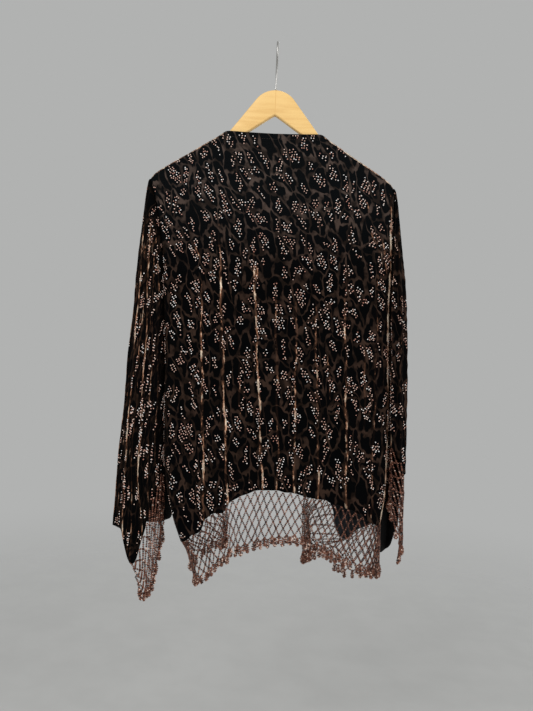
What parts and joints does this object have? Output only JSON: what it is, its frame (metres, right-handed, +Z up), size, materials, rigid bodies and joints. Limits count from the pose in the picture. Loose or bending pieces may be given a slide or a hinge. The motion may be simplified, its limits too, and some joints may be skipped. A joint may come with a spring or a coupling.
{
  "type": "short velvet jacket on a wooden hanger",
  "caption": "Short open straight-cut velvet jacket with a spotted pile and a beaded net fringe at hem and cuffs, hung on a flat wooden hanger with a wire hook.",
  "frame": {"origin": "inner top of the hook, where it rests on a rod", "axes": "+Z up, the back of the jacket faces -Y, the wearer's left sleeve is at -X"},
  "size_m": [0.5256, 0.0939, 1.016],
  "materials": {
    "velvet": "black pile spots on a brown sheer ground, with small bronze dots",
    "beads": "bronze-brown lustred glass seed beads",
    "wood": "clear satin varnish",
    "steel": "bright wire"
  },
  "bodies": {
    "root": {"back_panel": "velvet", "front_panel_left": "velvet", "front_panel_right": "velvet", "sleeve_left": "velvet", "sleeve_right": "velvet", "fringe_back": "beads", "fringe_front_left": "beads", "fringe_front_right": "beads", "fringe_cuff_left": "beads", "fringe_cuff_right": "beads", "hanger_wood": "wood", "hanger_hook": "steel"}
  },
  "joints": []
}
